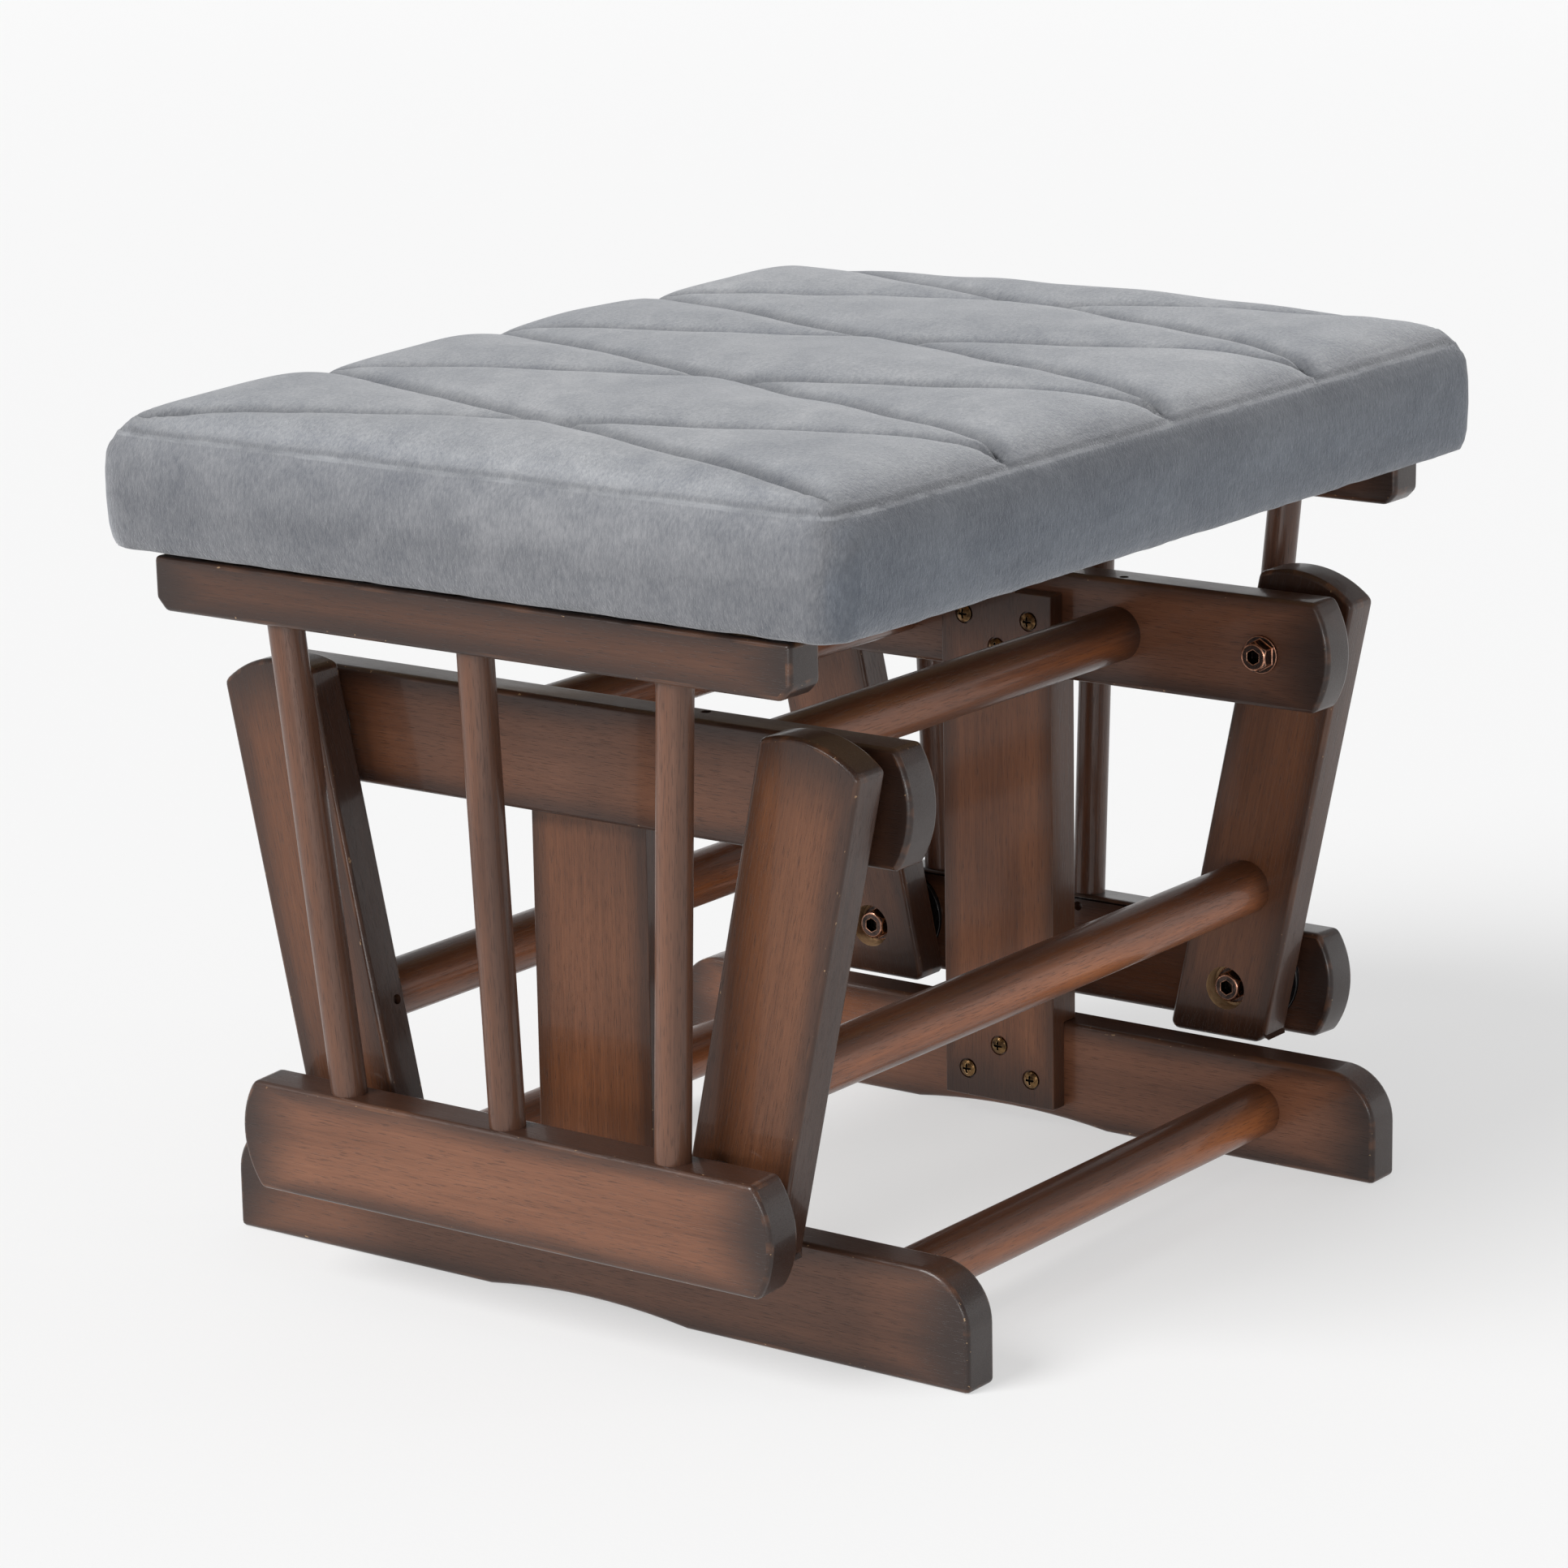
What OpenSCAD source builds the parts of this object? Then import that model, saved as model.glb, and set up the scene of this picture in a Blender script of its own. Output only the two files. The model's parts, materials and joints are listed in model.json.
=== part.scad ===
// Glider ottoman: a fixed base, four swinging links and a moving footrest frame under a padded cushion.
// X is the width, Y the glide direction with the front at -Y, and Z is up. The origin is at the centre
// of the footprint, on the floor. Sizes are millimetres. Each piece of the right side (+X) is modelled
// once and mirrored to the left, and each front piece (-Y) is mirrored to the rear.

/* [Base boards] */
// Distance between the outer faces of the two feet
base_w = 357; // [340:1:370]
// Thickness of the feet, top rails, links and side rails
board_t = 20; // [18:0.5:21]
// Length of a foot
foot_len = 408; // [380:1:440]
// Height of a foot
foot_h = 52; // [46:1:60]
// Radius of the rounded upper corners of a foot
foot_end_r = 25; // [10:1:30]
// Length of the shallow arch under a foot
arch_len = 110; // [80:1:160]
// Height of the shallow arch under a foot
arch_rise = 4; // [2:0.5:6]
// Length of a top rail, between the tips of its bowed ends
top_rail_len = 356; // [340:1:380]
// Height of a top rail's board
top_rail_h = 52.5; // [46:0.5:60]
// Height of a top rail's underside above the floor
top_rail_z = 222.5; // [210:0.5:235]
// Radius of a top rail's bowed ends
top_rail_end_r = 47; // [35:1:80]
// Width of an upright
upright_w = 63; // [50:1:80]
// How far an upright's inner half laps down a foot and up a top rail
upright_lap = 42.5; // [36:0.5:45]

/* [Round stretchers] */
// Diameter of the stretchers between the feet
base_stretcher_d = 25; // [20:1:28]
// Distance of the base stretchers from the middle
base_stretcher_y = 140.5; // [120:0.5:160]
// Height of the base stretchers' axes
base_stretcher_z = 26.5; // [22:0.5:30]
// Diameter of the stretchers between the top rails and between the links
stretcher_d = 26; // [22:1:30]
// Distance of the top stretchers from the middle
top_stretcher_y = 62.5; // [50:0.5:80]
// Height of the link stretchers' axes
link_stretcher_z = 125.5; // [110:0.5:150]

/* [Glide linkage] */
// Distance of the upper pivots from the middle
upper_pivot_y = 142; // [135:0.5:148]
// Height of the upper pivots
upper_pivot_z = 248; // [244:0.5:252]
// Distance of the lower pivots from the middle
lower_pivot_y = 104.5; // [100:0.5:110]
// Height of the lower pivots
lower_pivot_z = 73.5; // [71:0.5:75]
// Width of a link
link_w = 52; // [50:1:60]
// Height of a link's crown above its upper pivot, along the link
link_crown = 34; // [30:1:40]
// Radius of a link's bowed top
link_end_r = 50; // [40:1:80]
// Height of a link's level bottom edge
link_foot_z = 48.7; // [44:0.1:52]
// Gap between neighbouring boards at a pivot
side_gap = 9.7; // [9:0.1:12]

/* [Footrest frame] */
// Length of a side rail, between the tips of its bowed ends
side_rail_len = 292; // [285:1:310]
// Height of a side rail's board
side_rail_h = 51; // [50:0.5:56]
// Height of a side rail's middle
side_rail_z = 72; // [70:0.5:76]
// Radius of a side rail's bowed ends
side_rail_end_r = 42.5; // [32:0.5:80]
// Outward lean of each side panel, in degrees
panel_lean = 3.2; // [0:0.1:4]
// Diameter of a spindle
spindle_d = 16; // [14:0.5:18]
// Distance of the outer spindles' feet from the middle
spindle_foot_y = 89.4; // [86:0.2:92]
// Distance of the outer spindles' tops from the middle
spindle_head_y = 105.3; // [90:0.1:120]
// Length of a seat rail
seat_rail_len = 342.5; // [320:0.5:360]
// Thickness of a seat rail
seat_rail_t = 21; // [20:0.5:24]
// Height of a seat rail's board
seat_rail_h = 24.5; // [22:0.5:30]
// Height of a seat rail's underside
seat_rail_z = 308.7; // [305:0.1:315]
// Chamfer of a seat rail's lower corners
seat_rail_chamfer = 5.5; // [0:0.5:8]
// Width of a crossbar under the seat board
crossbar_w = 45; // [30:1:60]
// Height of a crossbar
crossbar_h = 18; // [16:1:20]
// Distance of the crossbars from the middle
crossbar_y = 70; // [50:1:75]
// Thickness of the seat board
seat_board_t = 9; // [6:1:12]

/* [Cushion] */
// Width of the cushion
cushion_w = 520; // [510:1:530]
// Depth of the cushion, front to rear
cushion_d = 402; // [390:1:408]
// Height of the cushion at its middle
cushion_h = 71; // [60:1:90]
// How far the cushion's top is crowned
cushion_crown = 16; // [8:1:24]
// Radius of the cushion's upright corners
cushion_corner_r = 18; // [10:1:40]

/* [Hardware] */
// Thread diameter of the pivot bolts
bolt_d = 8; // [6:1:8]
// Width across the flats of a pivot bolt's head
bolt_af = 13; // [10:1:14]
// Diameter of a pivot bolt's washer face
bolt_flange_d = 18; // [16:1:19]
// Diameter of the recess round a lower pivot bolt
recess_d = 21.2; // [20:0.2:24]
// Diameter of a bearing hub's flange
hub_flange_d = 46; // [40:1:46]
// Diameter of a bearing hub's body
hub_body_d = 28; // [24:1:28]
// Outer diameter of a pivot sleeve
sleeve_d = 12; // [11:0.5:13]
// Extra radius left round the sleeve at the rear lower pivots
open_pivot_gap = 2.2; // [2:0.1:3]
// Head diameter of the upright screws
screw_head_d = 8.4; // [7:0.2:10]
// Diameter of the pin holes that show in the boards' edges
pin_hole_d = 4.6; // [3:0.2:6]

/* [Hidden] */
$fn = 64;

wood_color = [0.25, 0.12, 0.07];
dowel_color = [0.42, 0.21, 0.11];
plywood_color = [0.72, 0.56, 0.38];
bolt_color = [0.30, 0.19, 0.14];
brass_color = [0.58, 0.43, 0.20];
steel_color = [0.45, 0.45, 0.46];
hub_color = [0.05, 0.05, 0.05];
fabric_color = [0.47, 0.50, 0.54];

// Clearance of glued and threaded joints, and of the running pivots
fit = 0.05;
// A length that surely reaches past any board, for cutting
past = 30;

base_x1 = base_w / 2;
base_x0 = base_x1 - board_t;
top_rail_mid_z = top_rail_z + top_rail_h / 2;
link_x0 = base_x1 + side_gap;
link_x1 = link_x0 + board_t;
panel_x = link_x1 + side_gap + board_t / 2;

// The upright stands half on the foot and half inside it
upright_t = board_t;
upright_x0 = base_x0 - upright_t / 2;
upright_z0 = foot_h - upright_lap;
upright_z1 = top_rail_z + upright_lap;

// The link leans so that its axis passes through both pivots
link_lean = atan2(upper_pivot_y - lower_pivot_y, upper_pivot_z - lower_pivot_z);
// Where the link stretcher crosses the link's axis, measured from the upper pivot along the link
link_stretcher_u = -(upper_pivot_z - link_stretcher_z) / cos(link_lean);
link_corner_chamfer = 3.5;

tenon_d = 16;
tenon_len = 12;
pin_d = 2;
pin_sink = 3;
pin_reach = 3;

screw_d = 4;
screw_len = 24;
screw_sink = 1;
screw_side = 18.5;
screw_end = 13.7;
screw_row = 14.5;

hub_flange_t = 3;
hub_body_len = 11;
hub_end_wall = 1;
hub_screw_r = 18.3;
hub_screw_d = 3;
hub_screw_len = 9;
hub_screw_head_d = 5.6;
sleeve_collar_d = 16;
sleeve_collar_t = 2;
bolt_flange_t = 1.6;
bolt_head_h = 6.3;
bolt_socket_af = 6;
bolt_socket_depth = 4;
bolt_hole_d = bolt_d + 0.6;
recess_depth = bolt_flange_t + bolt_head_h + 0.9;

spindle_tenon_d = 12;
spindle_foot_tenon = 10;
spindle_head_tenon = 14;
// Length of the panel from the side rail's middle up to the seat rail's underside, along the lean
panel_rise = (seat_rail_z - side_rail_z) / cos(panel_lean);
spindle_splay = atan2(spindle_head_y - spindle_foot_y, panel_rise - side_rail_h / 2);
spindle_pin_drop = 6;

seat_rail_x = panel_x + (seat_rail_z - side_rail_z) * tan(panel_lean);
seat_rail_x0 = seat_rail_x - seat_rail_t / 2;
seat_rail_x1 = seat_rail_x + seat_rail_t / 2;
seat_top_z = seat_rail_z + seat_rail_h;
crossbar_tenon = [8, 30, 10];
seat_board_x = seat_rail_x1 - 7;
seat_board_y = cushion_d / 2 - 19;
seat_board_screw_x = 175;

// Face of the side rail's spot-face, level enough to seat a whole flange on the leaning board
lower_hub_x = panel_x - board_t / 2 / cos(panel_lean)
    + (lower_pivot_z + hub_flange_d / 2 - side_rail_z) * tan(panel_lean);

// ---- Shared shapes ----

// A block between its low corner and its high corner
module block(low, high) {
    translate(low) cube(high - low);
}

// A round bar along X, from x0 to x1, centred on (y, z)
module bar_x(x0, x1, y, z, d) {
    translate([x0, y, z]) rotate([0, 90, 0]) cylinder(h = x1 - x0, d = d);
}

// A round bar along Z, from z0 to z1, centred on (x, y)
module bar_z(z0, z1, x, y, d) {
    translate([x, y, z0]) cylinder(h = z1 - z0, d = d);
}

module to_left() {
    mirror([1, 0, 0]) children();
}

module to_rear() {
    mirror([0, 1, 0]) children();
}

module both_sides() {
    children();
    to_left() children();
}

module front_and_rear() {
    children();
    to_rear() children();
}

// A board of constant thickness from x0 to x1, with both ends bowed as arcs of radius end_r
module bowed_board(x0, x1, z_mid, len, h, end_r) {
    arc_y = len / 2 - end_r;
    intersection() {
        block([x0, -len / 2, z_mid - h / 2], [x1, len / 2, z_mid + h / 2]);
        union() {
            block([x0, -arc_y, z_mid - h], [x1, arc_y, z_mid + h]);
            for (side = [-1, 1]) bar_x(x0, x1, side * arc_y, z_mid, 2 * end_r);
        }
    }
}

// A stretcher between the inner faces of two boards at x = +-span, with a tenon at each end
module stretcher(span, y, z, d) {
    bar_x(-span, span, y, z, d);
    bar_x(-span - tenon_len, span + tenon_len, y, z, tenon_d);
}

// The blind bore that takes a stretcher's tenon, in the board whose inner face is at x
module tenon_bore(x, y, z) {
    bar_x(x - past, x + tenon_len + fit, y, z, tenon_d + 2 * fit);
}

// A pan head with a cross recess, on the plane z = 0 and pointing up
module pan_head(d, h) {
    dome_r = d * 0.8;
    slot = [d * 0.56, d * 0.13, h];
    difference() {
        intersection() {
            cylinder(h = h, d = d);
            translate([0, 0, h - dome_r]) sphere(r = dome_r);
        }
        for (turn = [0, 90]) {
            rotate([0, 0, turn]) translate([-slot[0] / 2, -slot[1] / 2, h * 0.45]) cube(slot);
        }
    }
}

// A wood screw whose head seats on the plane z = 0 and whose shank runs down
module wood_screw(d, head_d, head_h, len) {
    translate([0, 0, -len]) cylinder(h = len, d = d);
    pan_head(head_d, head_h);
}

// ---- Base ----

// Places a child at each of the three screws of the lower lap and of the upper lap, on the
// upright's inner face, with its +Z pointing to the middle of the ottoman
module at_upright_screws() {
    lower = upright_z0 + screw_end;
    upper = upright_z1 - screw_end;
    spots = [
        [-screw_side, lower], [screw_side, lower], [0, lower + screw_row],
        [-screw_side, upper], [screw_side, upper], [0, upper - screw_row],
    ];
    for (spot = spots) {
        translate([upright_x0 + screw_sink, spot[0], spot[1]]) rotate([0, -90, 0]) children();
    }
}

module upright_screw_holes() {
    at_upright_screws() translate([0, 0, -screw_len - fit]) cylinder(h = screw_len + past, d = screw_d + 2 * fit);
}

// Pin from a foot's underside into a base stretcher's tenon; grow widens it to a hole
module foot_pin(grow) {
    top = base_stretcher_z + pin_reach;
    bar_z(pin_sink - grow, top + grow, base_x0 + tenon_len / 2, -base_stretcher_y, pin_d + 2 * grow);
}

// Pin from a top rail's upper edge into a top stretcher's tenon; grow widens it to a hole
module top_pin(grow) {
    low = top_rail_mid_z - pin_reach;
    high = top_rail_z + top_rail_h - pin_sink;
    bar_z(low - grow, high + grow, base_x0 + tenon_len / 2, -top_stretcher_y, pin_d + 2 * grow);
}

module foot() {
    y_end = foot_len / 2;
    y_arc = y_end - foot_end_r;
    z_arc = foot_h - foot_end_r;
    arch_r = (pow(arch_len / 2, 2) + pow(arch_rise, 2)) / (2 * arch_rise);
    difference() {
        union() {
            block([base_x0, -y_end, 0], [base_x1, y_end, z_arc]);
            block([base_x0, -y_arc, 0], [base_x1, y_arc, foot_h]);
            for (side = [-1, 1]) bar_x(base_x0, base_x1, side * y_arc, z_arc, 2 * foot_end_r);
        }
        bar_x(base_x0 - 1, base_x1 + 1, 0, arch_rise - arch_r, 2 * arch_r, $fn = 360);
        front_and_rear() {
            tenon_bore(base_x0, -base_stretcher_y, base_stretcher_z);
            foot_pin(fit);
            bar_z(-1, pin_sink, base_x0 + tenon_len / 2, -base_stretcher_y, pin_hole_d);
        }
        upright_screw_holes();
    }
}

module top_rail() {
    difference() {
        bowed_board(base_x0, base_x1, top_rail_mid_z, top_rail_len, top_rail_h, top_rail_end_r);
        front_and_rear() {
            tenon_bore(base_x0, -top_stretcher_y, top_rail_mid_z);
            top_pin(fit);
            bar_z(top_rail_z + top_rail_h - pin_sink, top_rail_z + top_rail_h + 1,
                base_x0 + tenon_len / 2, -top_stretcher_y, pin_hole_d);
            bar_x(base_x0 - 1, base_x1 + 1, -upper_pivot_y, upper_pivot_z, bolt_hole_d);
        }
        upright_screw_holes();
    }
}

module upright() {
    difference() {
        union() {
            block([upright_x0, -upright_w / 2, upright_z0], [base_x0, upright_w / 2, upright_z1]);
            block([base_x0 - 1, -upright_w / 2, foot_h], [upright_x0 + upright_t, upright_w / 2, top_rail_z]);
        }
        upright_screw_holes();
        at_upright_screws() cylinder(h = past, d = screw_head_d + 1.6);
    }
}

module left_foot() {
    color(wood_color) to_left() foot();
}

module right_foot() {
    color(wood_color) foot();
}

module left_upright() {
    color(wood_color) to_left() upright();
}

module right_upright() {
    color(wood_color) upright();
}

module left_top_rail() {
    color(wood_color) to_left() top_rail();
}

module right_top_rail() {
    color(wood_color) top_rail();
}

module front_base_stretcher() {
    color(dowel_color) difference() {
        stretcher(base_x0, -base_stretcher_y, base_stretcher_z, base_stretcher_d);
        both_sides() foot_pin(fit);
    }
}

module rear_base_stretcher() {
    to_rear() front_base_stretcher();
}

module front_top_stretcher() {
    color(dowel_color) difference() {
        stretcher(base_x0, -top_stretcher_y, top_rail_mid_z, stretcher_d);
        both_sides() top_pin(fit);
    }
}

module rear_top_stretcher() {
    to_rear() front_top_stretcher();
}

module upright_screws() {
    color(brass_color) both_sides() at_upright_screws() {
        wood_screw(screw_d, screw_head_d, 2.8, screw_len);
    }
}

module base_pins() {
    color(steel_color) both_sides() front_and_rear() {
        foot_pin(0);
        top_pin(0);
    }
}

// ---- Pivots ----

// A hex flange bolt whose washer face seats on the plane z = 0 and whose shank runs up
module pivot_bolt(len) {
    head_r = bolt_af / 2;
    difference() {
        union() {
            cylinder(h = len, d = bolt_d);
            translate([0, 0, -bolt_flange_t]) cylinder(h = bolt_flange_t, d = bolt_flange_d);
            intersection() {
                translate([0, 0, -bolt_flange_t - bolt_head_h]) {
                    cylinder(h = bolt_head_h + bolt_flange_t / 2, r = head_r / cos(30), $fn = 6);
                }
                translate([0, 0, -bolt_flange_t]) sphere(r = norm([head_r * 0.94, bolt_head_h]));
            }
        }
        translate([0, 0, -bolt_flange_t - bolt_head_h - 1]) {
            cylinder(h = bolt_socket_depth + 1, r = bolt_socket_af / 2 / cos(30), $fn = 6);
        }
    }
}

// A threaded sleeve that turns in a hub, with a collar on the plane z = 0
module pivot_sleeve(len) {
    difference() {
        union() {
            cylinder(h = sleeve_collar_t, d = sleeve_collar_d);
            cylinder(h = len, d = sleeve_d);
        }
        translate([0, 0, -1]) cylinder(h = len + 2, d = bolt_d + 2 * fit);
    }
}

module at_hub_screws() {
    for (turn = [0, 120, 240]) {
        rotate([0, 0, turn]) translate([-hub_screw_r, 0, -hub_flange_t]) mirror([0, 0, 1]) children();
    }
}

// A bearing hub: a flange under the plane z = 0, and a cup above it, bored gap wider than the sleeve
module hub(gap) {
    difference() {
        union() {
            translate([0, 0, -hub_flange_t]) cylinder(h = hub_flange_t, d = hub_flange_d);
            translate([0, 0, -hub_flange_t - 1]) cylinder(h = 2, d = hub_body_d - 4);
            cylinder(h = hub_body_len, d = hub_body_d);
        }
        translate([0, 0, -hub_flange_t - 2]) {
            cylinder(h = hub_flange_t + 2 + hub_body_len - hub_end_wall, d = sleeve_d + 2 * gap);
        }
        at_hub_screws() translate([0, 0, -past]) cylinder(h = past + 1, d = hub_screw_d + 2 * fit);
    }
}

// The holes that a hub needs in its board
module hub_seat() {
    cylinder(h = hub_body_len + 0.2, d = hub_body_d + 2 * fit);
    at_hub_screws() {
        translate([0, 0, -hub_screw_len - fit]) cylinder(h = hub_screw_len + fit, d = hub_screw_d + 2 * fit);
    }
}

module hub_screws() {
    at_hub_screws() wood_screw(hub_screw_d, hub_screw_head_d, 1.8, hub_screw_len);
}

// Places a child on the front upper or lower pivot's axis at x, with its +Z pointing outwards
module at_upper_pivot(x) {
    translate([x, -upper_pivot_y, upper_pivot_z]) rotate([0, 90, 0]) children();
}

module at_lower_pivot(x) {
    translate([x, -lower_pivot_y, lower_pivot_z]) rotate([0, 90, 0]) children();
}

// Where the bolt's shank and the sleeve end inside a hub seated at hub_x
function sleeve_end(hub_x) = hub_x + hub_body_len - hub_end_wall - 0.5;

module upper_pivot_bolts() {
    len = sleeve_end(link_x0) - base_x0 - 0.5;
    color(bolt_color) both_sides() front_and_rear() at_upper_pivot(base_x0) pivot_bolt(len);
}

module upper_pivot_sleeves() {
    len = sleeve_end(link_x0) - base_x1;
    color(brass_color) both_sides() front_and_rear() at_upper_pivot(base_x1) pivot_sleeve(len);
}

module front_upper_hubs() {
    color(hub_color) both_sides() at_upper_pivot(link_x0) hub(fit);
}

module rear_upper_hubs() {
    to_rear() front_upper_hubs();
}

module front_upper_hub_screws() {
    color(brass_color) both_sides() at_upper_pivot(link_x0) hub_screws();
}

module rear_upper_hub_screws() {
    to_rear() front_upper_hub_screws();
}

module front_lower_bolts() {
    seat_x = link_x0 + recess_depth;
    len = sleeve_end(lower_hub_x) - seat_x - 0.5;
    color(bolt_color) both_sides() at_lower_pivot(seat_x) pivot_bolt(len);
}

module rear_lower_bolts() {
    to_rear() front_lower_bolts();
}

module front_lower_sleeves() {
    len = sleeve_end(lower_hub_x) - link_x1;
    color(brass_color) both_sides() at_lower_pivot(link_x1) pivot_sleeve(len);
}

module rear_lower_sleeves() {
    to_rear() front_lower_sleeves();
}

module front_lower_hubs() {
    color(hub_color) both_sides() at_lower_pivot(lower_hub_x) hub(fit);
}

// The rear lower pivots' hubs leave the sleeve room for the linkage's small closing error
module rear_lower_hubs() {
    color(hub_color) to_rear() both_sides() at_lower_pivot(lower_hub_x) hub(open_pivot_gap);
}

module lower_hub_screws() {
    color(brass_color) both_sides() front_and_rear() at_lower_pivot(lower_hub_x) hub_screws();
}

// ---- Links ----

// The front link's own frame: origin at the upper pivot, +Z up along the link
module in_link() {
    translate([0, -upper_pivot_y, upper_pivot_z]) rotate([link_lean, 0, 0]) children();
}

// Pin from a link's inner edge into the link stretcher's tenon; grow widens it to a hole
module link_pin(grow) {
    in_link() translate([link_x0 + tenon_len / 2, -pin_reach - grow, link_stretcher_u]) {
        rotate([-90, 0, 0]) cylinder(h = link_w / 2 - pin_sink + pin_reach + 2 * grow, d = pin_d + 2 * grow);
    }
}

module link() {
    arc_u = link_crown - link_end_r;
    foot_u = -(upper_pivot_z - link_foot_z) / cos(link_lean) - link_w;
    foot_y = -upper_pivot_y + (upper_pivot_z - link_foot_z) * tan(link_lean);
    corner_y = link_w / 2 / cos(link_lean);
    difference() {
        in_link() intersection() {
            block([link_x0, -link_w / 2, foot_u], [link_x1, link_w / 2, link_crown]);
            union() {
                block([link_x0, -link_w, foot_u], [link_x1, link_w, arc_u]);
                bar_x(link_x0, link_x1, 0, arc_u, 2 * link_end_r);
            }
        }
        block([link_x0 - 1, -2 * upper_pivot_y, link_foot_z - 100], [link_x1 + 1, 0, link_foot_z]);
        for (side = [-1, 1]) {
            translate([(link_x0 + link_x1) / 2, foot_y + side * corner_y, link_foot_z]) {
                rotate([45, 0, 0]) cube([board_t + 2, link_corner_chamfer * sqrt(2), link_corner_chamfer * sqrt(2)],
                    center = true);
            }
        }
        at_upper_pivot(link_x0) hub_seat();
        at_lower_pivot(link_x0 - 1) cylinder(h = recess_depth + 1, d = recess_d);
        at_lower_pivot(link_x0) cylinder(h = board_t + 1, d = bolt_hole_d);
        in_link() tenon_bore(link_x0, 0, link_stretcher_u);
        link_pin(fit);
        in_link() translate([link_x0 + tenon_len / 2, link_w / 2 - pin_sink, link_stretcher_u]) {
            rotate([-90, 0, 0]) cylinder(h = past, d = pin_hole_d);
        }
    }
}

module left_front_link() {
    color(wood_color) to_left() link();
}

module right_front_link() {
    color(wood_color) link();
}

module left_rear_link() {
    to_rear() left_front_link();
}

module right_rear_link() {
    to_rear() right_front_link();
}

module front_link_stretcher() {
    color(dowel_color) difference() {
        in_link() stretcher(link_x0, 0, link_stretcher_u, stretcher_d);
        both_sides() link_pin(fit);
    }
}

module rear_link_stretcher() {
    to_rear() front_link_stretcher();
}

module front_link_pins() {
    color(steel_color) both_sides() link_pin(0);
}

module rear_link_pins() {
    to_rear() front_link_pins();
}

// ---- Footrest frame ----

// The side panel's own frame: origin at the side rail's middle, +Z up along the leaning panel
module in_panel() {
    translate([panel_x, 0, side_rail_z]) rotate([0, panel_lean, 0]) children();
}

// The frame of one spindle: place is -1 at the front, 0 in the middle and 1 at the rear. The origin is
// on the side rail's upper edge and +Z runs up the spindle.
module in_spindle(place) {
    in_panel() translate([0, place * spindle_foot_y, side_rail_h / 2]) {
        rotate([-place * spindle_splay, 0, 0]) children();
    }
}

function spindle_len(place) = (panel_rise - side_rail_h / 2) / cos(place * spindle_splay);

// The thin core of a spindle with its two tenons; grow widens it to a bore
module spindle_core(place, grow) {
    in_spindle(place) translate([0, 0, -spindle_foot_tenon - grow]) {
        cylinder(h = spindle_foot_tenon + spindle_len(place) + spindle_head_tenon + 2 * grow,
            d = spindle_tenon_d + 2 * grow);
    }
}

module spindle(place) {
    union() {
        difference() {
            in_spindle(place) translate([0, 0, -5]) cylinder(h = spindle_len(place) + 10, d = spindle_d);
            in_panel() block([-past, -foot_len, -past], [past, foot_len, side_rail_h / 2]);
            block([panel_x - 2 * past, -foot_len, seat_rail_z], [panel_x + 2 * past, foot_len, seat_top_z + past]);
        }
        difference() {
            spindle_core(place, 0);
            if (place == 0) spindle_pin(fit);
        }
    }
}

// Pin from the side rail's inner face into the middle spindle's tenon; grow widens it to a hole
module spindle_pin(grow) {
    in_panel() bar_x(-board_t / 2 + pin_sink - grow, pin_reach + grow, 0, side_rail_h / 2 - spindle_pin_drop,
        pin_d + 2 * grow);
}

module side_rail() {
    difference() {
        in_panel() bowed_board(-board_t / 2, board_t / 2, 0, side_rail_len, side_rail_h, side_rail_end_r);
        for (place = [-1, 0, 1]) spindle_core(place, fit);
        spindle_pin(fit);
        in_panel() {
            bar_x(-past, -board_t / 2 + pin_sink, 0, side_rail_h / 2 - spindle_pin_drop, pin_hole_d);
        }
        front_and_rear() {
            at_lower_pivot(lower_hub_x) hub_seat();
            at_lower_pivot(lower_hub_x - past) cylinder(h = past, d = hub_flange_d + 0.4);
        }
    }
}

module left_side_rail() {
    color(wood_color) to_left() side_rail();
}

module right_side_rail() {
    color(wood_color) side_rail();
}

module right_front_spindle() {
    color(dowel_color) spindle(-1);
}

module right_middle_spindle() {
    color(dowel_color) spindle(0);
}

module right_rear_spindle() {
    color(dowel_color) spindle(1);
}

module left_front_spindle() {
    to_left() right_front_spindle();
}

module left_middle_spindle() {
    to_left() right_middle_spindle();
}

module left_rear_spindle() {
    to_left() right_rear_spindle();
}

module spindle_pins() {
    color(steel_color) both_sides() spindle_pin(0);
}

module seat_rail() {
    y_end = seat_rail_len / 2;
    chamfer_side = seat_rail_chamfer * sqrt(2);
    difference() {
        block([seat_rail_x0, -y_end, seat_rail_z], [seat_rail_x1, y_end, seat_top_z]);
        for (side = [-1, 1]) {
            translate([seat_rail_x, side * y_end, seat_rail_z]) {
                rotate([45, 0, 0]) cube([seat_rail_t + 2, chamfer_side, chamfer_side], center = true);
            }
        }
        for (place = [-1, 0, 1]) spindle_core(place, fit);
        front_and_rear() crossbar_tenons(fit);
    }
}

// The tenons of the front crossbar; grow widens them to mortises
module crossbar_tenons(grow) {
    reach = seat_rail_x0 + crossbar_tenon[0] + grow;
    half_y = crossbar_tenon[1] / 2 + grow;
    z_mid = seat_top_z - crossbar_h / 2;
    half_z = crossbar_tenon[2] / 2 + grow;
    block([-reach, -crossbar_y - half_y, z_mid - half_z], [reach, -crossbar_y + half_y, z_mid + half_z]);
}

module at_seat_board_screws() {
    for (side = [-1, 1]) {
        translate([side * seat_board_screw_x, -crossbar_y, seat_top_z - crossbar_h]) {
            mirror([0, 0, 1]) children();
        }
    }
}

module seat_board_screw_holes() {
    len = crossbar_h + seat_board_t - 3 + fit;
    at_seat_board_screws() translate([0, 0, -len]) cylinder(h = len + 1, d = screw_d + 2 * fit);
}

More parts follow.
